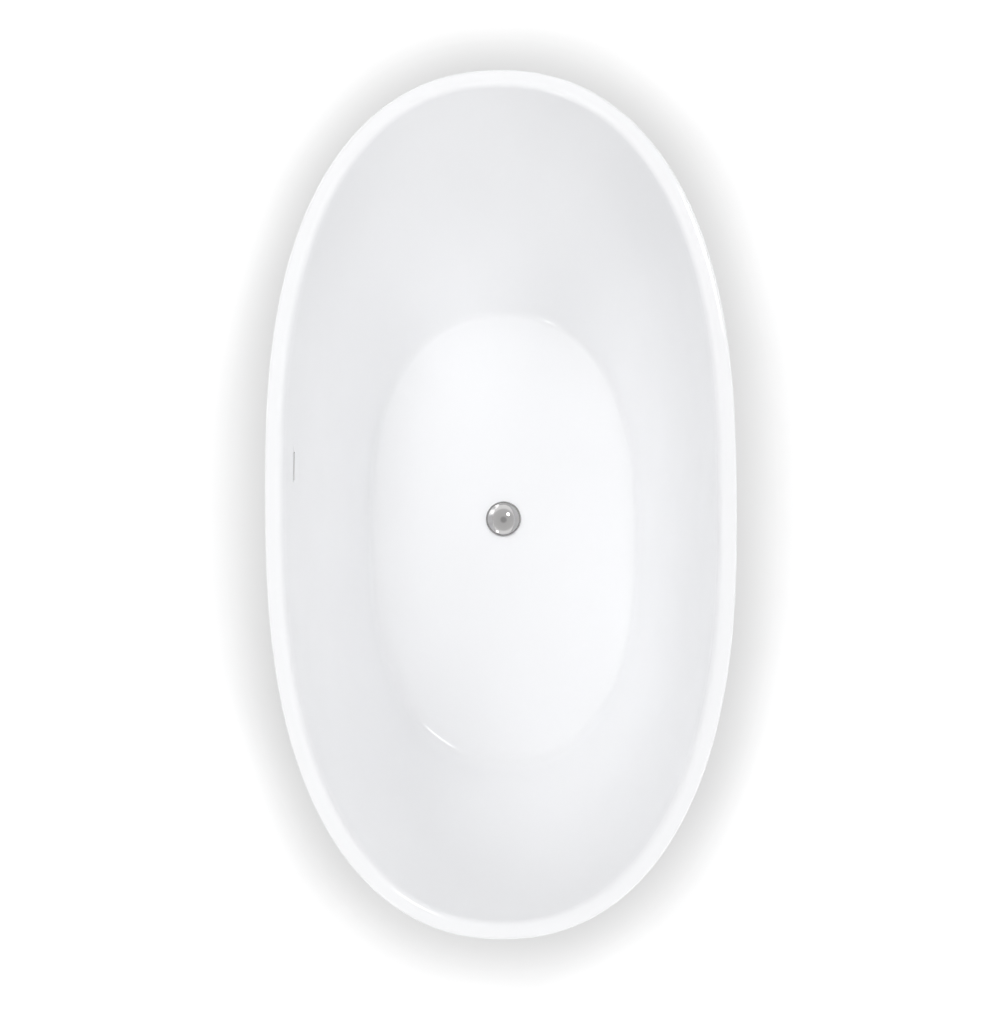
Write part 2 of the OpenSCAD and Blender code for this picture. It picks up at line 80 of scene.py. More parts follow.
# %% [markdown]
# ## Camera
# The tub is seen from straight above, a little from its foot end. A long lens keeps the
# skirt hidden behind the rim on every side.
# %% Camera
camera = bpy.data.objects.new("camera", bpy.data.cameras.new("camera"))
bpy.context.scene.collection.objects.link(camera)
camera.location = (0.0356, -0.2405, 3.2191)
camera.rotation_euler = [math.radians(turn) for turn in (2.434, 0.820, -0.373)]
camera.data.sensor_width = 36
camera.data.lens = 54.93
camera.data.shift_y = 0.068
bpy.context.scene.camera = camera
print("camera height:", camera.location.z)

# %% [markdown]
# ## Studio
# White on white needs soft light from all round, so that the only dark places are the
# ones the tub itself shades. The sky is made of rings of different brightness. Glossy
# surfaces see softer rings than the matt ones, as through a studio's white tent, with
# a dim patch overhead for the chrome, and the camera sees plain white behind the tub.
# Round lamps in circles of four heights model the walls, as fixtures behind the tent do,
# and only two small ones are seen as highlights. The plain colour transform keeps white.
# %% Sky
bpy.context.scene.view_settings.view_transform = "Standard"
sky = bpy.data.worlds.new("studio_sky")
bpy.context.scene.world = sky
sky.use_nodes = True
sky_nodes, sky_links = sky.node_tree.nodes, sky.node_tree.links
sky_nodes.remove(sky_nodes["Background"])
direction = sky_nodes.new("ShaderNodeTexCoord")
upward = sky_nodes.new("ShaderNodeSeparateXYZ")
path = sky_nodes.new("ShaderNodeLightPath")
sky_links.new(direction.outputs["Generated"], upward.inputs[0])


def sky_layer(stops, strength):
    """A Background whose glow depends on the height of the direction, as (height, glow) stops."""
    rings = sky_nodes.new("ShaderNodeValToRGB")
    rings.color_ramp.elements.remove(rings.color_ramp.elements[-1])
    for number, (height, glow) in enumerate(stops):
        stop = rings.color_ramp.elements[0] if number == 0 else rings.color_ramp.elements.new(height)
        stop.position = height
        stop.color = (glow, glow, glow, 1)
    layer = sky_nodes.new("ShaderNodeBackground")
    layer.inputs["Strength"].default_value = strength
    sky_links.new(upward.outputs["Z"], rings.inputs["Fac"])
    sky_links.new(rings.outputs["Color"], layer.inputs["Color"])
    return layer.outputs[0]


def either_sky(which, otherwise, chosen):
    """The chosen layer for one kind of ray, and the other layer for the rest."""
    mix = sky_nodes.new("ShaderNodeMixShader")
    sky_links.new(path.outputs[which], mix.inputs["Fac"])
    sky_links.new(otherwise, mix.inputs[1])
    sky_links.new(chosen, mix.inputs[2])
    return mix.outputs[0]


MATT_STOPS = [(0.14, 0.64), (0.20, 0.0), (0.48, 0.0), (0.54, 0.06), (0.70, 0.06), (0.76, 0.65),
              (0.87, 0.65), (0.93, 0.0)]
GLOSSY_STOPS = [(0.05, 0.50), (0.30, 0.40), (0.42, 0.90), (0.48, 1.0), (0.70, 1.0), (0.78, 0.66),
                (0.970, 0.60), (0.990, 0.38)]
lighting = sky_layer(MATT_STOPS, 1.04)
reflected = sky_layer(GLOSSY_STOPS, 1.15)
backdrop = sky_layer([(0.0, 1.0)], 1.0)
sky_links.new(either_sky("Is Camera Ray", either_sky("Is Glossy Ray", lighting, reflected), backdrop),
              sky_nodes["World Output"].inputs["Surface"])
print("sky:", len(sky_nodes), "nodes")


# %% Lamps
LAMP_AIM = Vector((0, 0, 0.15))
# Each row is the angle from the zenith, the angle round from X, and the watts; a key lamp adds its size.
KEY_LAMPS = [(27, 50, 14.0, 0.65), (52, 240, 7.0, 0.50)]
FILL_LAMPS = [(24, 180, 11.5), (24, 225, 6.8), (24, 270, 9.4), (38, 90, 21.0), (38, 225, 8.0), (52, 0, 3.0),
              (52, 90, 3.2), (52, 135, 10.5), (52, 180, 7.0), (52, 315, 17.0), (66, 0, 11.5), (66, 225, 3.0),
              (66, 315, 8.0)]


def soft_lamp(from_zenith, round_from_x, power, size=0.8, highlight=False, distance=3.6):
    """A round lamp that faces the tub from the given two angles, in degrees."""
    name = f"lamp_{from_zenith}_{round_from_x}"
    lamp = bpy.data.objects.new(name, bpy.data.lights.new(name, "AREA"))
    bpy.context.scene.collection.objects.link(lamp)
    lamp.data.shape = "DISK"
    lamp.data.size = size
    lamp.data.energy = power
    lamp.visible_glossy = highlight
    tilt, turn = math.radians(from_zenith), math.radians(round_from_x)
    towards = Vector((math.sin(tilt) * math.cos(turn), math.sin(tilt) * math.sin(turn), math.cos(tilt)))
    lamp.location = LAMP_AIM + distance * towards
    lamp.rotation_euler = towards.to_track_quat("Z", "Y").to_euler()


for lamp_row in KEY_LAMPS:
    soft_lamp(*lamp_row, highlight=True)
for lamp_row in FILL_LAMPS:
    soft_lamp(*lamp_row)
print(len(KEY_LAMPS) + len(FILL_LAMPS), "lamps,", sum(row[2] for row in KEY_LAMPS + FILL_LAMPS), "W")


# %% [markdown]
# ## Finishes
# Everything is made by nodes that read Object coordinates, so a pattern stays put on its
# piece. Three effects are node groups: grain, a fine mottling, flakes, the patches of a
# chipboard, of chopped glass and of zinc crystals, and swell, the slow waviness of a sheet
# that was drawn over a mould.
# %% Node helpers
def new_group(name, inputs, outputs):
    """A node group with its inputs, as (label, kind, value) rows, and its outputs."""
    group = bpy.data.node_groups.new(name, "ShaderNodeTree")
    for label, kind, value in inputs:
        socket = group.interface.new_socket(label, in_out="INPUT", socket_type=kind)
        socket.default_value = value
    for label, kind in outputs:
        group.interface.new_socket(label, in_out="OUTPUT", socket_type=kind)
    return group, group.nodes.new("NodeGroupInput"), group.nodes.new("NodeGroupOutput")


def add(tree, kind, **values):
    """A new node with some of its settings given."""
    node = tree.nodes.new(kind)
    for label, value in values.items():
        setattr(node, label, value)
    return node


LOOKS = [("Dark", "NodeSocketColor", (0.4, 0.4, 0.4, 1)), ("Light", "NodeSocketColor", (0.6, 0.6, 0.6, 1)),
         ("Rough Low", "NodeSocketFloat", 0.3), ("Rough High", "NodeSocketFloat", 0.5)]
GIVES = [("Color", "NodeSocketColor"), ("Roughness", "NodeSocketFloat"), ("Height", "NodeSocketFloat")]

# %% Grain group
grain_group, grain_in, grain_out = new_group("grain", [("Scale", "NodeSocketFloat", 40.0), *LOOKS], GIVES)
grain_place = add(grain_group, "ShaderNodeTexCoord")
speckle = add(grain_group, "ShaderNodeTexNoise")
speckle.inputs["Detail"].default_value = 4.0
blend_colors = add(grain_group, "ShaderNodeMix", data_type="RGBA")
rough_range = add(grain_group, "ShaderNodeMapRange")
link = grain_group.links.new
link(grain_place.outputs["Object"], speckle.inputs["Vector"])
link(grain_in.outputs["Scale"], speckle.inputs["Scale"])
link(speckle.outputs["Fac"], blend_colors.inputs["Factor"])
link(grain_in.outputs["Dark"], blend_colors.inputs["A"])
link(grain_in.outputs["Light"], blend_colors.inputs["B"])
link(speckle.outputs["Fac"], rough_range.inputs["Value"])
link(grain_in.outputs["Rough Low"], rough_range.inputs["To Min"])
link(grain_in.outputs["Rough High"], rough_range.inputs["To Max"])
link(blend_colors.outputs["Result"], grain_out.inputs["Color"])
link(rough_range.outputs["Result"], grain_out.inputs["Roughness"])
link(speckle.outputs["Fac"], grain_out.inputs["Height"])


# %% Swell group
swell_group, swell_in, swell_out = new_group(
    "swell", [("Scale", "NodeSocketFloat", 5.0)], [("Height", "NodeSocketFloat")])
swell_place = add(swell_group, "ShaderNodeTexCoord")
broad = add(swell_group, "ShaderNodeTexNoise")
broad.inputs["Detail"].default_value = 1.0
swell_group.links.new(swell_place.outputs["Object"], broad.inputs["Vector"])
swell_group.links.new(swell_in.outputs["Scale"], broad.inputs["Scale"])
swell_group.links.new(broad.outputs["Fac"], swell_out.inputs["Height"])

# %% Flakes group
flakes_group, flakes_in, flakes_out = new_group(
    "flakes", [("Scale", "NodeSocketFloat", 200.0), ("Stretch", "NodeSocketVector", (1, 1, 1)), *LOOKS], GIVES)
flakes_place = add(flakes_group, "ShaderNodeTexCoord")
stretched = add(flakes_group, "ShaderNodeVectorMath", operation="MULTIPLY")
cells = add(flakes_group, "ShaderNodeTexVoronoi")
shade = add(flakes_group, "ShaderNodeSeparateColor")
tint = add(flakes_group, "ShaderNodeMix", data_type="RGBA")
dullness = add(flakes_group, "ShaderNodeMapRange")
link = flakes_group.links.new
link(flakes_place.outputs["Object"], stretched.inputs[0])
link(flakes_in.outputs["Stretch"], stretched.inputs[1])
link(stretched.outputs["Vector"], cells.inputs["Vector"])
link(flakes_in.outputs["Scale"], cells.inputs["Scale"])
link(cells.outputs["Color"], shade.inputs["Color"])
link(shade.outputs["Red"], tint.inputs["Factor"])
link(flakes_in.outputs["Dark"], tint.inputs["A"])
link(flakes_in.outputs["Light"], tint.inputs["B"])
link(shade.outputs["Green"], dullness.inputs["Value"])
link(flakes_in.outputs["Rough Low"], dullness.inputs["To Min"])
link(flakes_in.outputs["Rough High"], dullness.inputs["To Max"])
link(tint.outputs["Result"], flakes_out.inputs["Color"])
link(dullness.outputs["Result"], flakes_out.inputs["Roughness"])
link(cells.outputs["Distance"], flakes_out.inputs["Height"])
print("groups:", [group.name for group in bpy.data.node_groups])


# %% Material helper
def finish(name, group, dark, light, scale, rough, bump=0.0, depth=0.0005, metallic=0.0, **extra):
    """A Principled material whose color, gloss and relief come from one placing of a group."""
    material = bpy.data.materials.new(name)
    material.use_nodes = True
    tree = material.node_tree
    surface = tree.nodes["Principled BSDF"]
    surface.inputs["Metallic"].default_value = metallic
    pattern = add(tree, "ShaderNodeGroup", node_tree=group)
    pattern.inputs["Scale"].default_value = scale
    pattern.inputs["Dark"].default_value = (*dark, 1)
    pattern.inputs["Light"].default_value = (*light, 1)
    pattern.inputs["Rough Low"].default_value, pattern.inputs["Rough High"].default_value = rough
    for label, value in extra.items():
        pattern.inputs[label].default_value = value
    tree.links.new(pattern.outputs["Color"], surface.inputs["Base Color"])
    tree.links.new(pattern.outputs["Roughness"], surface.inputs["Roughness"])
    if bump:
        relief = add(tree, "ShaderNodeBump")
        relief.inputs["Strength"].default_value = bump
        relief.inputs["Distance"].default_value = depth
        tree.links.new(pattern.outputs["Height"], relief.inputs["Height"])
        tree.links.new(relief.outputs["Normal"], surface.inputs["Normal"])
    return material


# %% Finishes by name
finishes = {
    "acrylic": finish("acrylic", grain_group, (0.902, 0.906, 0.919), (0.917, 0.921, 0.934), 6, (0.03, 0.06)),
    "glass_fibre": finish("glass_fibre", flakes_group, (0.62, 0.57, 0.40), (0.80, 0.76, 0.60), 110, (0.40, 0.75),
                          bump=0.5, depth=0.0008, Stretch=(1, 0.3, 0.6)),
    "bonding_paste": finish("bonding_paste", grain_group, (0.72, 0.71, 0.65), (0.84, 0.83, 0.77), 60, (0.6, 0.8),
                            bump=0.3),
    "board": finish("board", flakes_group, (0.36, 0.23, 0.12), (0.72, 0.55, 0.35), 240, (0.6, 0.85), bump=0.3,
                    Stretch=(1, 0.45, 1.3)),
    "galvanised_steel": finish("galvanised_steel", flakes_group, (0.44, 0.45, 0.46), (0.62, 0.63, 0.65), 130,
                               (0.30, 0.48), metallic=1.0),
    "zinc_steel": finish("zinc_steel", grain_group, (0.58, 0.58, 0.57), (0.74, 0.74, 0.73), 70, (0.22, 0.34),
                         metallic=1.0),
    "black_plastic": finish("black_plastic", grain_group, (0.018, 0.018, 0.019), (0.035, 0.035, 0.036), 900,
                            (0.42, 0.58), bump=0.2, depth=0.0002),
    "black_rubber": finish("black_rubber", grain_group, (0.014, 0.014, 0.014), (0.030, 0.030, 0.029), 500,
                           (0.55, 0.75), bump=0.25, depth=0.0002),
    "white_plastic": finish("white_plastic", grain_group, (0.74, 0.74, 0.72), (0.80, 0.80, 0.78), 300,
                            (0.28, 0.40), bump=0.1, depth=0.0002),
    "grey_hose": finish("grey_hose", grain_group, (0.46, 0.46, 0.45), (0.56, 0.56, 0.55), 250, (0.35, 0.5),
                        bump=0.1, depth=0.0002),
    "chrome": finish("chrome", grain_group, (0.54, 0.53, 0.53), (0.58, 0.575, 0.57), 30, (0.03, 0.07),
                     metallic=1.0),
    "brass": finish("brass", grain_group, (0.62, 0.44, 0.16), (0.76, 0.58, 0.26), 60, (0.2, 0.35), metallic=1.0),
    "spring_steel": finish("spring_steel", grain_group, (0.55, 0.55, 0.56), (0.70, 0.70, 0.71), 80, (0.18, 0.3),
                           metallic=1.0),
}

# %% Swell of the acrylic
sheet = finishes["acrylic"].node_tree
swell = add(sheet, "ShaderNodeGroup", node_tree=swell_group)
swell.inputs["Scale"].default_value = 9
ripple = add(sheet, "ShaderNodeBump")
ripple.inputs["Strength"].default_value = 1.0
ripple.inputs["Distance"].default_value = 0.0012
sheet.links.new(swell.outputs["Height"], ripple.inputs["Height"])
sheet.links.new(ripple.outputs["Normal"], sheet.nodes["Principled BSDF"].inputs["Normal"])
print("swell:", round(ripple.inputs["Distance"].default_value / MM, 2), "mm")

# %% Finishes on the frame
node_slots = {row["node"]: row["material_slot"] for row in frame["record"]["subparts"]}
for node, thing in frame["nodes"].items():
    thing.data.materials.clear()
    thing.data.materials.append(finishes[node_slots[node]])
print(len(finishes), "finishes on", len(node_slots), "nodes")


# %% [markdown]
# ## How the sheets are shaped
# A tub sheet is a stack of ovals. Each oval is a ring of points at one height, so a sheet
# can be grown by extruding a circle's edges and moving every new ring to the next oval.
# The operator makes all the faces. The rings only need a half width, a half length, a
# shift along the tub, a height and a form, which says how square the oval is.
# %% Ovals
ROUND = (2, 2, 0)
OVAL = (2.2, 2.6, 0.01)
AROUND = 256


def lerp(a, b, t):
    return a + (b - a) * t


def signed_power(value, power):
    return math.copysign(abs(value) ** power, value)


def oval_point(turn, station):
    half_width, half_length, shift, height, form = station
    across = signed_power(math.cos(turn), 2 / form[0])
    along = signed_power(math.sin(turn), 2 / form[1])
    return MM * Vector((half_width * across * (1 + form[2] * along), shift + half_length * along, height))


# %% Picking from an operator's result
def verts_in(geometry):
    """The vertices among what an operator gives back."""
    return [part for part in geometry if isinstance(part, bmesh.types.BMVert)]


def edges_between(geometry, verts):
    """The edges among it whose two ends are both in verts."""
    return [part for part in geometry if isinstance(part, bmesh.types.BMEdge) and verts.issuperset(part.verts)]


# %% Loft
def loft(stations):
    """Grows a closed sheet whose cross-section goes once round the stations."""
    bm = bmesh.new()
    turn = bm.verts.layers.float.new("turn")
    bmesh.ops.create_circle(bm, segments=AROUND, radius=1)
    for vert in bm.verts:
        vert[turn] = math.atan2(vert.co.y, vert.co.x)
        vert.co = oval_point(vert[turn], stations[0])
    first = ring = list(bm.edges)
    for station in stations[1:]:
        grown = bmesh.ops.extrude_edge_only(bm, edges=ring)["geom"]
        verts = set(verts_in(grown))
        ring = edges_between(grown, verts)
        for vert in verts:
            vert.co = oval_point(vert[turn], station)
    bmesh.ops.bridge_loops(bm, edges=first + ring)
    bmesh.ops.recalc_face_normals(bm, faces=bm.faces)
    return bm


# %% Finishing a piece
def make_piece(bm, name, slot, body="root", stands_for=(), smooth=30):
    """Turns a bmesh into a shaded object that rides on its body and stands for its CAD nodes."""
    mesh = bpy.data.meshes.new(name)
    bm.to_mesh(mesh)
    bm.free()
    piece = bpy.data.objects.new(name, mesh)
    bpy.context.scene.collection.objects.link(piece)
    mesh.materials.append(finishes[slot])
    mesh.shade_smooth()
    mesh.set_sharp_from_angle(angle=math.radians(smooth))
    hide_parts(*stands_for)
    if body:
        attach(piece, body)
    print(name, len(mesh.polygons), "faces")
    return piece


# %% [markdown]
# ## Basin
# The basin is one sheet of acrylic, drawn down into a mould while it is hot. From the
# drain outwards it is a nearly flat floor, a shallow dish, a tight bend, a wall that leans
# out and gets steeper towards the top, and a rim that rolls over into a short outer lip.
# The stations below walk along that line, over the lip and back down the hidden side.
# %% Sizes of the basin
tub_w, tub_l, tub_h = 812, 1500, 580
rim_w, rim_in_r, rim_out_r, rim_t, lip_h = 17, 15, 6, 5, 14
wall_top_turn = math.radians(73)
wall_top_a = tub_w / 2 - rim_w - rim_in_r * math.sin(wall_top_turn)
wall_top_b = tub_l / 2 - rim_w - rim_in_r * math.sin(wall_top_turn)
wall_top_z = tub_h - rim_in_r * (1 - math.cos(wall_top_turn))
floor_a, floor_b, floor_z, floor_rise, floor_shift = 184, 356, 142, 5, 36
dish_a, dish_b, dish_h = 257, 438, 9
fold_a, fold_b, fold_z = 269, 460, 172
dish_pull, bend_lean, bend_rise = (25, 36), (5, 12), 2.5
edge_z = floor_z + floor_rise
dish_z = edge_z + dish_h
patch_r, hole_r = 45, 25
sheet_t, laminate_t, bond_t = 4, 4, 0.5
# A sloped sheet is wider across, seen level, than it is thick.
SIDE_BACK, END_BACK = 1.04, 1.25
print("wall:", round(wall_top_z - fold_z), "mm high")


# %% Stations of the basin
def bezier(start, pull, end, s):
    return start * (1 - s) ** 2 + pull * 2 * s * (1 - s) + end * s * s


def floor_part(back, fill=0, steps=10):
    for i in range(1, steps + 1):
        s = i / steps
        form = tuple(lerp(round_, oval, s) for round_, oval in zip(ROUND, OVAL))
        yield (lerp(patch_r, floor_a, s), lerp(patch_r, floor_b, s), -floor_shift * s,
               floor_z + floor_rise * s - back - fill * s, form)


def dish_part(back, fill=0, steps=12):
    for i in range(1, steps + 1):
        s = i / steps
        yield (bezier(floor_a, dish_a - dish_pull[0], dish_a, s), bezier(floor_b, dish_b - dish_pull[1], dish_b, s),
               -floor_shift, edge_z + dish_h * s * s - back - fill, OVAL)


def bend_part(back, fill=0, steps=12):
    for i in range(1, steps + 1):
        s = i / steps
        out, down = math.sin(s * math.pi / 2), math.cos(s * math.pi / 2)
        yield (bezier(dish_a, fold_a - bend_lean[0], fold_a, s) + SIDE_BACK * back * out,
               bezier(dish_b, fold_b - bend_lean[1], fold_b, s) + END_BACK * back * out, -floor_shift,
               bezier(dish_z, dish_z + bend_rise, fold_z, s) - (back + fill) * down, OVAL)


def wall_lean(u):
    return 0.65 * u + 0.35 * u * u


def wall_part(back, top=0.0, steps=26):
    for i in range(1, steps + 1):
        u = lerp(1, top, i / steps)
        yield (lerp(wall_top_a, fold_a, wall_lean(u)) + SIDE_BACK * back,
               lerp(wall_top_b, fold_b, wall_lean(u)) + END_BACK * back,
               -floor_shift * wall_lean(u), lerp(wall_top_z, fold_z, u), OVAL)


def rim_station(inset, height):
    return (tub_w / 2 - inset, tub_l / 2 - inset, 0, height, OVAL)


def rim_corner(radius, degrees):
    turn = math.radians(degrees)
    return rim_station(rim_w + radius * math.sin(turn), tub_h - rim_in_r + radius * math.cos(turn))


def basin_skin(back, fill=0, top=0.0):
    yield (hole_r, hole_r, 0, floor_z - back, ROUND)
    yield (patch_r, patch_r, 0, floor_z - back, ROUND)
    yield from floor_part(back, fill)
    yield from dish_part(back, fill)
    yield from bend_part(back, fill)
    yield from wall_part(back, top)


rim_line = [rim_corner(rim_in_r, degrees) for degrees in (66, 60, 53, 46, 39, 32, 25, 18, 12, 6, 0)]
rim_line += [rim_station(lerp(rim_w, rim_out_r, s), tub_h) for s in (0.33, 0.67)]
rim_line += [rim_station(rim_out_r * (1 - math.sin(turn)), tub_h - rim_out_r * (1 - math.cos(turn)))
             for turn in (math.radians(degrees) for degrees in (0, 15, 30, 45, 60, 75, 90))]
rim_line += [rim_station(0, tub_h - lip_h + 1), rim_station(0.3, tub_h - lip_h + 0.3), rim_station(1, tub_h - lip_h),
             rim_station(rim_t - 1, tub_h - lip_h), rim_station(rim_t, tub_h - lip_h + 1),
             rim_station(rim_t, tub_h - rim_t), rim_corner(rim_in_r - rim_t, 0), rim_corner(rim_in_r - rim_t, 45)]
basin_line = list(basin_skin(0)) + rim_line + list(basin_skin(sheet_t, top=0.03))[::-1]
basin_bm = loft(basin_line)
print("basin:", len(basin_line), "rings")


# %% [markdown]
# ## Overflow slot
# The slot is routed through the wall after moulding, so it is cut here too: a flat-sided
# bar with round ends is pushed through the sheet and taken away from it, and its edge is
# then broken by a small bevel, as an abrasive pad would do.
# %% Slot's frame
slot_y, slot_z, slot_l, slot_h = 67, 515, 52, 8
slot_u = (wall_top_z - slot_z) / (wall_top_z - fold_z)
slot_x = -lerp(wall_top_a, fold_a, wall_lean(slot_u))
slot_tilt = math.atan((0.65 + 0.7 * slot_u) * (wall_top_a - fold_a) / (wall_top_z - fold_z))
slot_place = MM * Vector((slot_x, slot_y, slot_z))
slot_frame = (Matrix.Translation(slot_place)
              @ Matrix.Rotation(-math.radians(1), 4, "Z") @ Matrix.Rotation(-slot_tilt, 4, "Y")
              @ Matrix.Diagonal((-1, 1, 1, 1)))
print("slot:", round(-slot_x), "mm from the middle, leaning", round(math.degrees(slot_tilt)), "degrees")


def slot_bar(length, height, start, end, ends=12):
    """A bar along the slot frame's X with half-round ends."""
    bm = bmesh.new()
    bmesh.ops.create_circle(bm, segments=4 * ends, radius=height / 2, cap_ends=True)
    for vert in bm.verts:
        vert.co.x += math.copysign((length - height) / 2, vert.co.x)
    grown = bmesh.ops.extrude_face_region(bm, geom=bm.faces[:])["geom"]
    bmesh.ops.translate(bm, verts=verts_in(grown), vec=(0, 0, end - start))
    to_slot = Matrix(((0, 0, 1, start), (1, 0, 0, 0), (0, 1, 0, 0), (0, 0, 0, 1)))
    bmesh.ops.transform(bm, matrix=slot_frame @ Matrix.Scale(MM, 4) @ to_slot, verts=bm.verts)
    bmesh.ops.recalc_face_normals(bm, faces=bm.faces)
    return bm


# %% Cutting
def combine(bm, other_bm, how="DIFFERENCE"):
    """Cuts the other solid out of bm, or keeps what both share, and returns a new bmesh."""
    things = []
    for part in (bm, other_bm):
        mesh = bpy.data.meshes.new("combining")
        part.to_mesh(mesh)
        part.free()
        things.append(bpy.data.objects.new("combining", mesh))
        bpy.context.scene.collection.objects.link(things[-1])
    step = things[0].modifiers.new("combine", "BOOLEAN")
    step.object, step.operation, step.solver = things[1], how, "EXACT"
    result = bmesh.new()
    result.from_object(things[0], bpy.context.evaluated_depsgraph_get())
    for thing in things:
        bpy.data.objects.remove(thing)
    return result


basin_bm = combine(basin_bm, slot_bar(slot_l, slot_h, -10, 12))
mouth = [edge for edge in basin_bm.edges
         if (edge.verts[0].co - slot_place).length < 0.035 and edge.is_manifold
         and edge.calc_face_angle(0) > math.radians(50)]
bmesh.ops.bevel(basin_bm, geom=mouth, offset=0.8 * MM, segments=3, profile=0.5, affect="EDGES", material=-1)
make_piece(basin_bm, "acrylic_basin", "acrylic", stands_for=["basin"], smooth=40)
print("slot edge:", len(mouth), "edges bevelled")


# %% [markdown]
# ## Skirt
# The outer sheet hangs from the rim's lip. It is full at the top and draws in towards the
# ground, faster near the bottom, where it turns in to a narrow flange. A shadow line half
# a millimetre high shows where the two sheets meet.
# %% Skirt
shell_t, shell_clear, flange_w, seam_z, seam_in, back_top_z = 4, 3, 14, 565.5, 15, 558


def skirt_station(back, height):
    inset = max(0, 1 - height / tub_h) ** 1.7
    return (tub_w / 2 - 116 * inset - back, tub_l / 2 - 150 * inset - back, 0, height, OVAL)


def skirt_part(back, low, high, steps=30):
    return [skirt_station(back, lerp(low, high, i / steps)) for i in range(steps + 1)]


skirt_line = [skirt_station(flange_w, shell_clear + 0.8), skirt_station(flange_w, shell_clear + shell_t)]
skirt_line += skirt_part(shell_t, shell_clear + shell_t, back_top_z)
skirt_line += [rim_station(9.5, 564), rim_station(9.5, 569.5), rim_station(seam_in, 569.5),
               rim_station(seam_in, 573.5), rim_station(5.5, 573.5), rim_station(5.5, seam_z),
               rim_station(0.8, seam_z)]
skirt_line += skirt_part(0, shell_clear + 2.5, seam_z - 0.8)[::-1]
skirt_line += [skirt_station(0.7, shell_clear + 0.7), skirt_station(2.5, shell_clear)]
make_piece(loft(skirt_line), "acrylic_skirt", "acrylic", stands_for=["outer_shell"], smooth=40)


# %% [markdown]
# ## Glass fibre
# An acrylic sheet alone would flex, so its hidden side is sprayed with resin and chopped
# glass. The layer follows the sheet on one side. Its free side is lumpy, and small
# pushes of noise along the normals show that. The layer stays flat where the board sits.
# %% Laminates
def roughen(bm, where, amount, scale):
    """Pushes the chosen vertices in and out by noise, in mm, over lumps of the given size in mm."""
    bm.normal_update()
    pushes = [(vert, vert.normal * (amount * MM * noise.noise(vert.co / (scale * MM))))
              for vert in bm.verts if where(vert.co)]
    for vert, push in pushes:
        vert.co += push


laminate_line = list(basin_skin(sheet_t + bond_t, top=0.03))
laminate_line += list(basin_skin(sheet_t + laminate_t, fill=floor_rise, top=0.03))[::-1]
laminate_bm = combine(loft(laminate_line), slot_bar(slot_l + 6, slot_h + 6, -4, 20))
roughen(laminate_bm, lambda co: 0.2 < co.z < 0.54 and abs(co.x) + abs(co.y) > 0.3, 0.35, 22)
make_piece(laminate_bm, "basin_glass_fibre", "glass_fibre", stands_for=["basin_laminate"])

backing_line = skirt_part(shell_t + 3, shell_clear + shell_t + 0.5, back_top_z, steps=40)
backing_line += skirt_part(shell_t + 0.5, shell_clear + shell_t + 0.5, back_top_z, steps=40)[::-1]
make_piece(loft(backing_line), "skirt_glass_fibre", "glass_fibre", stands_for=["shell_laminate"])


# %% [markdown]
# ## Round parts
# The dome of the plug and the rubber of the feet are turned shapes: a profile of radii and
# heights is spun once round the upright axis and merged where it closes.
# %% Spinning
def spun(profile, centre=(0, 0), steps=96):
    """Spins a closed profile of (radius, height) corners round an upright axis at centre."""
    bm = bmesh.new()
    verts = [bm.verts.new((radius * MM, 0, height * MM)) for radius, height in profile]
    edges = [bm.edges.new(pair) for pair in zip(verts, verts[1:] + verts[:1])]
    bmesh.ops.spin(bm, geom=verts + edges, cent=(0, 0, 0), axis=(0, 0, 1), dvec=(0, 0, 0), angle=2 * math.pi,
                   steps=steps, use_merge=True, use_duplicate=False)
    bmesh.ops.remove_doubles(bm, verts=bm.verts, dist=1e-6)
    axis_faces = [face for face in bm.faces if face.calc_area() < 1e-14]
    bmesh.ops.delete(bm, geom=axis_faces, context="FACES")
    bmesh.ops.translate(bm, verts=bm.verts, vec=(centre[0] * MM, centre[1] * MM, 0))
    bmesh.ops.recalc_face_normals(bm, faces=bm.faces)
    return bm


def arc(centre_r, centre_z, radius, start, end, steps):
    """Corners of a profile along an arc, its angles in degrees from the radial direction."""
    turns = [math.radians(lerp(start, end, i / steps)) for i in range(steps + 1)]
    return [(centre_r + radius * math.cos(turn), centre_z + radius * math.sin(turn)) for turn in turns]


# %% Plug
plug_r, cap_z, cap_edge, dome_r = 31.5, 146.6, 1.5, 62
dome_centre = cap_z + cap_edge - math.sqrt(dome_r ** 2 - plug_r ** 2)
edge_angle = math.degrees(math.acos((plug_r - 0.6) / dome_r))
plug_line = arc(0, dome_centre, dome_r, 90, edge_angle, 30)
plug_line += arc(plug_r - 0.5, cap_z + cap_edge - 0.35, 0.5, 50, 0, 3)
plug_line += arc(plug_r - 0.4, cap_z + 0.4, 0.4, 0, -90, 3)
plug_line += [(plug_r - 5, cap_z), (plug_r - 5, cap_z + 1.2), (0, cap_z + 1.2)]
make_piece(spun(plug_line, steps=128), "plug_dome", "chrome", body="plug", stands_for=["plug_cap"])


# %% [markdown]
# ## Feet
# Each foot is a screw that turns in the frame and stands on a pad. A real thread is made
# the way a lathe makes it: a zigzag is spun while it climbs, by just one pitch a turn, so
# that after a full turn it meets itself again. The hexagons get a chamfer from a spun cone.
# %% Hexagons and threads
PITCH = 1.75


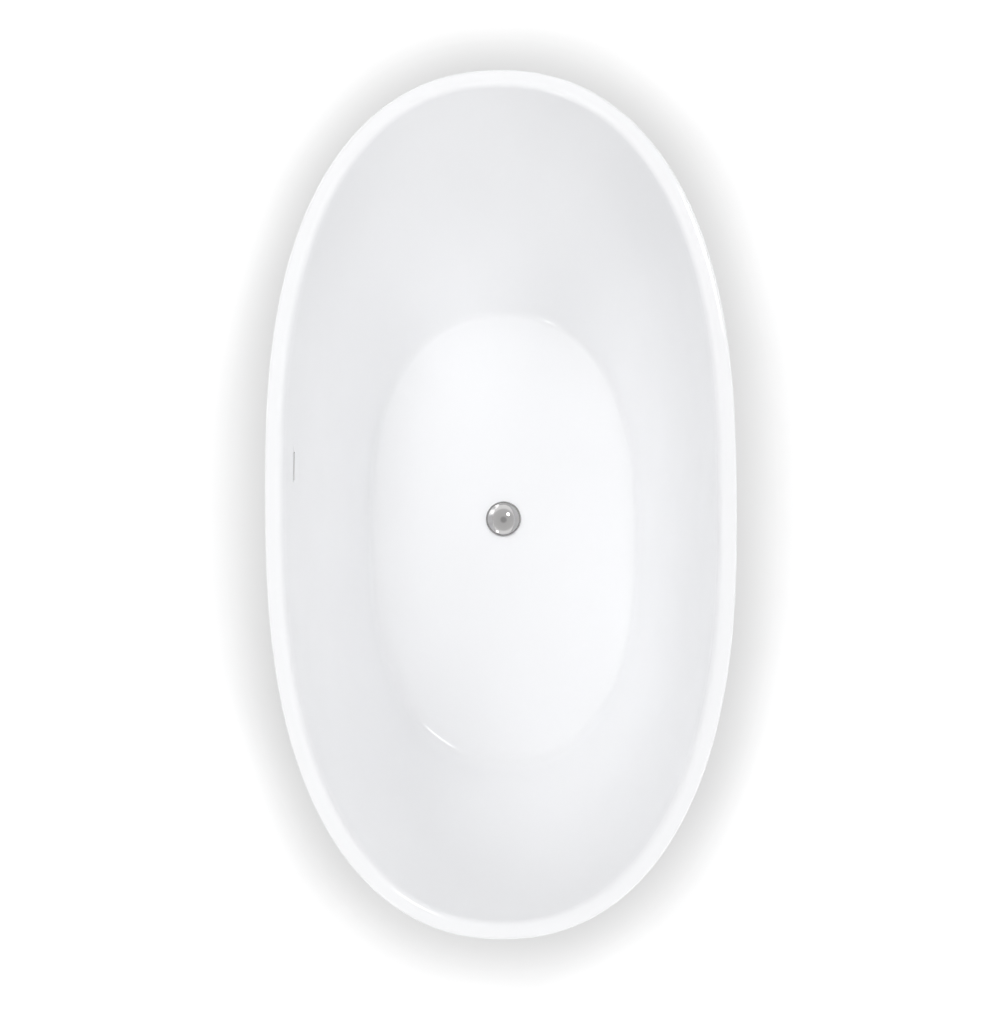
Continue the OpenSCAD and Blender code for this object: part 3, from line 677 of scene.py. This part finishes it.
def thread(bottom, top, outer_r, depth, centre, steps=24):
    """An open screw thread between two heights, grown as a climbing spin."""
    bm = bmesh.new()
    turns = int((top - bottom) / PITCH) - 1
    line = [(outer_r - depth * (i % 2), bottom + PITCH * i / 2) for i in range(2 * turns + 1)]
    verts = [bm.verts.new((radius * MM, 0, height * MM)) for radius, height in line]
    edges = [bm.edges.new(pair) for pair in zip(verts, verts[1:])]
    bmesh.ops.spin(bm, geom=verts + edges, cent=(0, 0, 0), axis=(0, 0, 1), dvec=(0, 0, PITCH * MM / steps),
                   angle=2 * math.pi, steps=steps, use_merge=False, use_duplicate=False)
    bmesh.ops.remove_doubles(bm, verts=bm.verts, dist=2e-6)
    for end in (bottom - 0.5, top + 0.2):
        rim = [edge for edge in bm.edges if edge.is_boundary
               and abs(edge.verts[0].co.z / MM - end) < 2.5 * PITCH]
        grown = bmesh.ops.extrude_edge_only(bm, edges=rim)["geom"]
        tips = verts_in(grown)
        for vert in tips:
            flat = Vector((vert.co.x, vert.co.y, 0)).normalized() * (outer_r - depth) * MM
            vert.co = (flat.x, flat.y, end * MM)
        bmesh.ops.remove_doubles(bm, verts=tips, dist=1e-6)
    bmesh.ops.holes_fill(bm, edges=[edge for edge in bm.edges if edge.is_boundary], sides=0)
    bmesh.ops.translate(bm, verts=bm.verts, vec=(centre[0] * MM, centre[1] * MM, 0))
    bmesh.ops.recalc_face_normals(bm, faces=bm.faces)
    return bm


def prism(corner_r, sides, bottom, top, centre):
    """An upright solid bar with any number of sides."""
    bm = bmesh.new()
    bmesh.ops.create_circle(bm, segments=sides, radius=corner_r * MM, cap_ends=True)
    bmesh.ops.translate(bm, verts=bm.verts, vec=MM * Vector((*centre, bottom)))
    grown = bmesh.ops.extrude_face_region(bm, geom=bm.faces[:])["geom"]
    bmesh.ops.translate(bm, verts=verts_in(grown), vec=(0, 0, (top - bottom) * MM))
    bmesh.ops.recalc_face_normals(bm, faces=bm.faces)
    return bm


def hexagon(flats, bottom, top, centre, bore=0):
    """A hexagon whose corners are rounded off above and below, with or without a bore."""
    corner_r = flats / 2 / math.cos(math.pi / 6)
    inner = max(bore, 0.001)
    cone = [(inner, bottom), (flats / 2 - 0.4, bottom), (corner_r + 0.05, bottom + 1.0),
            (corner_r + 0.05, top - 1.0), (flats / 2 - 0.4, top), (inner, top)]
    return combine(prism(corner_r, 6, bottom - 1, top + 1, centre), spun(cone, centre, steps=48), "INTERSECT")


def merge_into(bm, *others):
    """Adds the other solids to bm, side by side, as one piece."""
    for other in others:
        mesh = bpy.data.meshes.new("merging")
        other.to_mesh(mesh)
        other.free()
        bm.from_mesh(mesh)
        bpy.data.meshes.remove(mesh)
    return bm


# %% Feet
foot_places = []
for foot in range(1, 6):
    low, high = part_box(f"foot_pad_{foot}")
    foot_places.append(((low.x + high.x) / 2 / MM, (low.y + high.y) / 2 / MM))
ball_z, ball_r, pad_r, pad_h, collar_z, nut_z, stud_top = 13, 8, 25, 22, 39.7, 52, 112
for foot, centre in enumerate(foot_places, 1):
    ball = arc(0, ball_z, ball_r, -90, 48, 14) + [(5.4, ball_z + 6.4), (5.4, collar_z - 0.5), (0, collar_z - 0.5)]
    stud = merge_into(spun(ball, centre, steps=32), hexagon(19, collar_z, collar_z + 12, centre),
                      thread(collar_z + 11.8, stud_top - 0.2, 5.95, 0.95, centre))
    make_piece(stud, f"threaded_stud_{foot}", "zinc_steel", body=f"stud_{foot}",
               stands_for=[f"foot_stud_{foot}"], smooth=25)
    pad_line = [(0.01, 0), (pad_r - 3.6, 0), (pad_r - 3.2, 0.8), (pad_r - 1, 0.8)]
    pad_line += arc(pad_r - 1, 1.8, 1, -60, 0, 3) + arc(pad_r - 1.2, 4.2, 1.2, 0, 60, 4)
    pad_line += arc(pad_r - 2.6, 10.4, 4.4, -100, -150, 6) + [(13.6, 11.8)]
    pad_line += arc(11, pad_h - 1, 1, 0, 90, 3) + [(8.4, pad_h), (7.6, pad_h - 0.8)]
    pad_line += arc(0, ball_z, ball_r + 0.3, 24, -89.9, 16)
    make_piece(spun(pad_line, centre, steps=72), f"rubber_pad_{foot}", "black_rubber", body=f"pad_{foot}",
               stands_for=[f"foot_pad_{foot}"], smooth=35)

nuts = merge_into(bmesh.new(), *[hexagon(19, nut_z, nut_z + 7.95, centre, bore=6.1) for centre in foot_places])
make_piece(nuts, "hexagon_lock_nuts", "zinc_steel", stands_for=["lock_nuts"], smooth=25)


# %% [markdown]
# ## Steel frame
# Rolled square tube has round corners, which catch the light along every edge. A ring with
# round corners is drawn outside and inside, the gap between them is bridged, and that
# ring is extruded to length. The screw and insert holes are then drilled.
# %% Square tube
TUBE_W, TUBE_T = 30, 2


def rounded_square(bm, half, corner):
    """A square ring with round corners, as a circle whose quarters are pulled apart."""
    made = bmesh.ops.create_circle(bm, segments=20, radius=corner)["verts"]
    bmesh.ops.rotate(bm, verts=made, matrix=Matrix.Rotation(math.radians(9), 3, "Z"))
    for vert in made:
        vert.co += Vector((math.copysign(half - corner, vert.co.x), math.copysign(half - corner, vert.co.y), 0))
    return list({edge for vert in made for edge in vert.link_edges})


def tube(length, middle, along, holes=(), bore_r=3.0):
    """A hollow square tube centred on middle, along X or Y, with upright holes."""
    bm = bmesh.new()
    outside = rounded_square(bm, TUBE_W / 2, 3)
    inside = rounded_square(bm, TUBE_W / 2 - TUBE_T, 1.4)
    bmesh.ops.bridge_loops(bm, edges=outside + inside)
    grown = bmesh.ops.extrude_face_region(bm, geom=bm.faces[:])["geom"]
    bmesh.ops.translate(bm, verts=verts_in(grown), vec=(0, 0, length))
    bmesh.ops.translate(bm, verts=bm.verts, vec=(0, 0, -length / 2))
    turn = Matrix.Rotation(math.pi / 2, 4, "Y" if along == "X" else "X")
    bmesh.ops.transform(bm, matrix=Matrix.Scale(MM, 4) @ Matrix.Translation(middle) @ turn, verts=bm.verts)
    bmesh.ops.recalc_face_normals(bm, faces=bm.faces)
    for place in holes:
        bm = combine(bm, prism(bore_r, 32, middle[2] - TUBE_W, middle[2] + TUBE_W, place))
    return bm


# %% Rails and cross tubes
frame_y, rail_x, rail_l, cross_l, rail_mid_z, cross_mid_z = -36, 115, 740, 430, 107, 77
screw_places = [(x, frame_y + y) for x in (-rail_x, rail_x) for y in (-280, -140, 100, 280)]
for name, x in (("rail_left", -rail_x), ("rail_right", rail_x)):
    holes = [place for place in screw_places if place[0] == x]
    make_piece(tube(rail_l, (x, frame_y, rail_mid_z), "Y", holes), f"steel_{name}", "galvanised_steel",
               stands_for=[name])
cross_rows = {"head": 294, "middle": 110, "foot": -366}
for name, y in cross_rows.items():
    holes = [place for place in foot_places if abs(place[1] - y) < 1]
    make_piece(tube(cross_l, (0, y, cross_mid_z), "X", holes, 9.1), f"steel_cross_{name}", "galvanised_steel",
               stands_for=[f"cross_tube_{name}"])


# %% [markdown]
# ## Welds
# The rails are welded to the cross tubes along both of their lower edges. A bead is a row
# of overlapping drops, so each one is a stretched ball, and twelve beads hold the frame.
# %% Weld beads
def weld_bead(start, end, radius=1.7, drops=9):
    """A row of drops that overlap, from start to end."""
    bm = bmesh.new()
    start, end = Vector(start), Vector(end)
    for i in range(drops):
        centre = start.lerp(end, i / (drops - 1))
        drop = bmesh.ops.create_icosphere(bm, subdivisions=2, radius=radius * (1 + 0.1 * math.sin(7.1 * i)))["verts"]
        bmesh.ops.translate(bm, verts=drop, vec=centre)
    bmesh.ops.scale(bm, verts=bm.verts, vec=(MM, MM, MM))
    return bm


weld_z, weld_half, weld_off = 92.6, 12, TUBE_W / 2 + 0.2
beads = [weld_bead((rail + side, y - weld_half, weld_z), (rail + side, y + weld_half, weld_z))
         for y in cross_rows.values() for rail in (-rail_x, rail_x) for side in (-weld_off, weld_off)]
make_piece(merge_into(bmesh.new(), *beads), "weld_beads", "galvanised_steel")


# %% [markdown]
# ## Caps, screws and board
# Moulded caps close the tube ends, and pan head screws come up through the rails into
# the board. Each has a round lip, so they are rings with bevelled edges and a socket.
# %% End caps
def end_cap(middle, towards):
    """A cap with a round lip over the end of a tube that points towards the given direction."""
    bm = bmesh.new()
    outline = rounded_square(bm, TUBE_W / 2, 3)
    bmesh.ops.contextual_create(bm, geom=outline)
    grown = bmesh.ops.extrude_face_region(bm, geom=bm.faces[:])["geom"]
    bmesh.ops.translate(bm, verts=verts_in(grown), vec=(0, 0, 3))
    lip = [edge for edge in bm.edges if all(abs(vert.co.z - 3) < 1e-6 for vert in edge.verts)]
    bmesh.ops.bevel(bm, geom=lip, offset=1, segments=3, profile=0.5, affect="EDGES", material=-1)
    plug_half = TUBE_W / 2 - TUBE_T - 0.2
    made = bmesh.ops.create_cube(bm, size=1)["verts"]
    bmesh.ops.scale(bm, verts=made, vec=(2 * plug_half - 2, 2 * plug_half - 2, 9))
    bmesh.ops.translate(bm, verts=made, vec=(0, 0, -4.4))
    turn = Vector(towards).to_track_quat("Z", "Y").to_matrix().to_4x4()
    bmesh.ops.recalc_face_normals(bm, faces=bm.faces)
    bmesh.ops.transform(bm, matrix=Matrix.Scale(MM, 4) @ Matrix.Translation(middle) @ turn, verts=bm.verts)
    return bm


caps = []
for end in (-1, 1):
    caps += [end_cap((x, frame_y + end * (rail_l / 2 + 0.05), rail_mid_z), (0, end, 0)) for x in (-rail_x, rail_x)]
    caps += [end_cap((end * (cross_l / 2 + 0.05), y, cross_mid_z), (end, 0, 0)) for y in cross_rows.values()]
make_piece(merge_into(bmesh.new(), *caps), "moulded_end_caps", "black_plastic", stands_for=["tube_end_caps"])

# %% Screws
screws = []
for place in screw_places:
    head = [(0.01, 89), (4.2, 89)] + arc(4.2, 90, 0.8, -80, 0, 4) + [(5.0, 92), (2.5, 92), (2.5, 130), (0.01, 130)]
    socket = prism(2.3, 6, 87, 90.8, place)
    screws.append(combine(spun(head, place, steps=32), socket))
make_piece(merge_into(bmesh.new(), *screws), "pan_head_screws", "zinc_steel", stands_for=["rail_screws"])


# %% [markdown]
# ## Spring under the plug
# The click plug sits on a short coil spring. A little wire circle is spun five turns while
# it climbs. In the tub one end stays with the drain and the other rises with the plug; here
# the spring is built once, at rest, on no body.
# %% Spring
spring_bm = bmesh.new()
spring_r, wire_r, spring_low, spring_high, spring_turns = 3.4, 0.5, 100.6, 111.4, 5
wire = bmesh.ops.create_circle(spring_bm, segments=8, radius=wire_r * MM, cap_ends=True)["verts"]
bmesh.ops.rotate(spring_bm, verts=wire, matrix=Matrix.Rotation(math.pi / 2, 3, "X"))
bmesh.ops.translate(spring_bm, verts=wire, vec=(spring_r * MM, 0, spring_low * MM))
spring_steps = 20 * spring_turns
bmesh.ops.spin(spring_bm, geom=spring_bm.faces[:], cent=(0, 0, 0), axis=(0, 0, 1),
               dvec=(0, 0, (spring_high - spring_low) * MM / spring_steps), angle=2 * math.pi * spring_turns,
               steps=spring_steps, use_merge=False, use_duplicate=False)
bmesh.ops.recalc_face_normals(spring_bm, faces=spring_bm.faces)
spring = make_piece(spring_bm, "coil_spring", "spring_steel", body=None, stands_for=["click_spring"], smooth=60)
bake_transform(spring)


# %% [markdown]
# ## Overflow hose
# The hose runs from the overflow box down between the sheets to the drain body. It is
# corrugated so that it can bend, with plain cuffs at both ends. A ring is extruded along
# the route, and its radius rises and falls once for each corrugation.
# %% Route of the hose
hose_route = [(-377.5, 67, 470), (-377.5, 67, 455), (-376.5, 67, 444), (-371, 67, 422), (-361, 67, 388),
              (-349, 66, 345), (-337, 64, 290), (-325, 61, 240), (-313, 56, 190), (-300, 50, 145),
              (-278, 40, 106), (-242, 29, 82), (-196, 18, 74), (-140, 8, 74), (-95, 2, 77), (-64, 0, 80),
              (-50, 0, 80), (-34, 0, 80)]


def route_point(points, k, t):
    """A smooth curve through the points, from point k at t = 0 to the next at t = 1."""
    a, b, c, d = (Vector(points[min(max(k + i, 0), len(points) - 1)]) for i in (-1, 0, 1, 2))
    return 0.5 * (2 * b + (c - a) * t + (2 * a - 5 * b + 4 * c - d) * t * t + (3 * b - a - 3 * c + d) * t ** 3)


hose_line = [route_point(hose_route, k, i / 30) for k in range(len(hose_route) - 1) for i in range(30)]
hose_line.append(Vector(hose_route[-1]))
hose_run = [0.0]
for before, after in zip(hose_line, hose_line[1:]):
    hose_run.append(hose_run[-1] + (after - before).length)
print("hose:", round(hose_run[-1]), "mm long")


# %% Corrugated hose
HOSE_R, HOSE_WALL, CREST_DEPTH, HOSE_SIDES = 9.6, 1.0, 1.1, 20


def along_hose(distance):
    """The point and direction at a distance along the hose."""
    k = min(max(next((i for i, run in enumerate(hose_run) if run > distance), len(hose_run)) - 1, 0),
            len(hose_line) - 2)
    share = (distance - hose_run[k]) / (hose_run[k + 1] - hose_run[k])
    return hose_line[k].lerp(hose_line[k + 1], share), (hose_line[k + 1] - hose_line[k]).normalized()


def hose_rings(wall, cuff=27, ring_step=1.25):
    """Radius and distance of each ring of the hose's outside, or of its inside, which is wall mm deeper."""
    count = round(hose_run[-1] / ring_step)
    for i in range(count + 1):
        distance = hose_run[-1] * i / count
        in_cuff = min(distance, hose_run[-1] - distance) < cuff
        crest = 0.0 if in_cuff else CREST_DEPTH / 2 * (math.cos(math.pi * i / 2) - 1)
        yield (HOSE_R + crest - wall, distance)


hose_bm = bmesh.new()
spoke = hose_bm.verts.layers.float.new("spoke")
bmesh.ops.create_circle(hose_bm, segments=HOSE_SIDES, radius=1)
for vert in hose_bm.verts:
    vert[spoke] = math.atan2(vert.co.y, vert.co.x)
hose_first = hose_ring = list(hose_bm.edges)
ring_verts = list(hose_bm.verts)
for number, (radius, distance) in enumerate(list(hose_rings(0)) + list(hose_rings(HOSE_WALL))[::-1]):
    if number:
        grown = bmesh.ops.extrude_edge_only(hose_bm, edges=hose_ring)["geom"]
        ring_verts = verts_in(grown)
        hose_ring = edges_between(grown, set(ring_verts))
    point, heading = along_hose(distance)
    side_axis = Vector((0, 1, 0)).cross(heading).normalized()
    up_axis = heading.cross(side_axis)
    for vert in ring_verts:
        vert.co = MM * (point + radius * (math.cos(vert[spoke]) * side_axis + math.sin(vert[spoke]) * up_axis))
bmesh.ops.bridge_loops(hose_bm, edges=hose_first + hose_ring)
bmesh.ops.recalc_face_normals(hose_bm, faces=hose_bm.faces)
make_piece(hose_bm, "corrugated_hose", "grey_hose", stands_for=["overflow_hose"], smooth=50)


# %% [markdown]
# ## Softened edges
# The other fittings keep the frame's shape, but no moulded or turned part has a knife
# edge. A copy of each is merged, and a small bevel rounds whatever turns sharply.
# %% Softening
def softened(node, name, width):
    """A copy of a CAD node with its sharp edges rounded, which stands for it."""
    copy_bm = bmesh.new()
    copy_bm.from_mesh(frame["nodes"][node].data)
    bmesh.ops.remove_doubles(copy_bm, verts=copy_bm.verts, dist=1e-6)
    bmesh.ops.dissolve_limit(copy_bm, angle_limit=math.radians(0.5), verts=copy_bm.verts, edges=copy_bm.edges)
    piece = make_piece(copy_bm, name, node_slots[node], stands_for=[node], smooth=35)
    rounding = piece.modifiers.new("rounding", "BEVEL")
    rounding.width, rounding.segments = width * MM, 2
    rounding.limit_method, rounding.angle_limit = "ANGLE", math.radians(40)
    rounding.harden_normals = True


for node, name, width in (("drain_body", "moulded_drain_body", 0.6), ("tail_nut", "ribbed_tail_nut", 0.5),
                          ("tailpiece", "chrome_tailpiece", 0.3), ("overflow_box", "moulded_overflow_box", 0.8),
                          ("foot_inserts", "flanged_inserts", 0.3), ("base_board", "chipboard_base", 0.8),
                          ("hose_clamp_upper", "clamp_at_box", 0.3), ("hose_clamp_lower", "clamp_at_drain", 0.3),
                          ("click_cartridge", "click_housing", 0.2)):
    softened(node, name, width)


# %% [markdown]
# ## Ground
# A plain white floor, lit up so that it fades to pure white. Close round the tub a
# shadow is painted into the floor: its colour and glow are darker in an oval as wide as
# the rim, and its glow is darker still under the skirt. Raising the sides of an oval's
# equation to its own powers gives a number that is 1 on the outline and grows outwards,
# and the distance from the outline follows from it. The floor is see-through from below,
# so that the underside can be looked at.
# %% Ground
ground_bm = bmesh.new()
bmesh.ops.create_circle(ground_bm, segments=64, radius=40, cap_ends=True)
ground_mesh = bpy.data.meshes.new("studio_floor")
ground_bm.to_mesh(ground_mesh)
ground_bm.free()
ground = bpy.data.objects.new("studio_floor", ground_mesh)
bpy.context.scene.collection.objects.link(ground)


# %% Nodes for numbers
def math_node(tree, operation, first, second):
    """A Math node whose inputs are sockets or plain numbers, and its output."""
    node = add(tree, "ShaderNodeMath", operation=operation)
    for socket, value in zip(node.inputs, (first, second)):
        if isinstance(value, (int, float)):
            socket.default_value = value
        else:
            tree.links.new(value, socket)
    return node.outputs[0]


def ranged(tree, value, low, high, at_low, at_high, **settings):
    """A number that changes from at_low to at_high while value goes from low to high."""
    change = add(tree, "ShaderNodeMapRange", **settings)
    for label, number in (("From Min", low), ("From Max", high), ("To Min", at_low), ("To Max", at_high)):
        change.inputs[label].default_value = number
    tree.links.new(value, change.inputs["Value"])
    return change.outputs["Result"]


# %% How far a point is past the painted shadow's start, in metres
# Where the painted shadow round the tub starts, how wide it is, and how its oval is placed and shaped
PAINTED_SHADOW_START, PAINTED_SHADOW_WIDTH, PAINTED_SHADOW_SHIFT, PAINTED_SHADOW_STRETCH, PAINTED_SHADOW_FORM = 1.21, 0.19, (0.008, -0.053, 0), 1.02, 2.4
paper = finish("studio_paper", grain_group, (0.9, 0.9, 0.9), (0.9, 0.9, 0.9), 3, (0.85, 0.95))
paper_tree = paper.node_tree
paper_link = paper_tree.links.new
paper_place = add(paper_tree, "ShaderNodeTexCoord")
centred = add(paper_tree, "ShaderNodeMapping")
centred.inputs["Location"].default_value = PAINTED_SHADOW_SHIFT
paper_link(paper_place.outputs["Object"], centred.inputs["Vector"])
sides = add(paper_tree, "ShaderNodeSeparateXYZ")
paper_link(centred.outputs["Vector"], sides.inputs[0])
powers = []
for side, half, power in (("X", tub_w / 2 * MM, OVAL[0]), ("Y", tub_l / 2 * PAINTED_SHADOW_STRETCH * MM, OVAL[1])):
    share = math_node(paper_tree, "DIVIDE", math_node(paper_tree, "ABSOLUTE", sides.outputs[side], 0), half)
    powers.append(math_node(paper_tree, "POWER", share, power))
oval = math_node(paper_tree, "POWER", math_node(paper_tree, "ADD", *powers), 1 / PAINTED_SHADOW_FORM)
reach = add(paper_tree, "ShaderNodeVectorMath", operation="LENGTH")
paper_link(centred.outputs["Vector"], reach.inputs[0])
inside = math_node(paper_tree, "DIVIDE", PAINTED_SHADOW_START, math_node(paper_tree, "MAXIMUM", oval, 0.01))
beyond = math_node(paper_tree, "MULTIPLY", reach.outputs["Value"], math_node(paper_tree, "SUBTRACT", 1, inside))

# %% The painted shadow in the floor's colour and glow
shine = paper_tree.nodes["Principled BSDF"]
# Painted shadow: the floor's colour and glow are darker near the tub and fade to their far values
painted_shadow_fade = ranged(paper_tree, beyond, -PAINTED_SHADOW_WIDTH / 4, PAINTED_SHADOW_WIDTH, 0, 1, interpolation_type="SMOOTHSTEP")
# Painted shade under the skirt: the floor glows less close to the skirt's foot
painted_shade_under_skirt = ranged(paper_tree, beyond, -0.30, -0.04, 0.18, 0.50)
far_glow = ranged(paper_tree, reach.outputs["Value"], 1.5, 5.0, 0.36, 1.0)
for socket, near, far in (("Base Color", 0.22, 0.88), ("Emission Color", painted_shade_under_skirt, far_glow)):
    painted_shadow = add(paper_tree, "ShaderNodeMix", data_type="RGBA")
    for label, value in (("A", near), ("B", far)):
        if isinstance(value, float):
            painted_shadow.inputs[label].default_value = (value, value, value, 1)
        else:
            paper_link(value, painted_shadow.inputs[label])
    paper_link(painted_shadow_fade, painted_shadow.inputs["Factor"])
    paper_link(painted_shadow.outputs["Result"], shine.inputs[socket])
shine.inputs["Emission Strength"].default_value = 1.0
ground_mesh.materials.append(paper)
print("ground: halo", PAINTED_SHADOW_WIDTH, "m wide")

# %% The ground from below
backside = add(paper_tree, "ShaderNodeNewGeometry")
clear = add(paper_tree, "ShaderNodeBsdfTransparent")
one_sided = add(paper_tree, "ShaderNodeMixShader")
paper_link(backside.outputs["Backfacing"], one_sided.inputs["Fac"])
paper_link(shine.outputs["BSDF"], one_sided.inputs[1])
paper_link(clear.outputs["BSDF"], one_sided.inputs[2])
paper_link(one_sided.outputs["Shader"], paper_tree.nodes["Material Output"].inputs["Surface"])
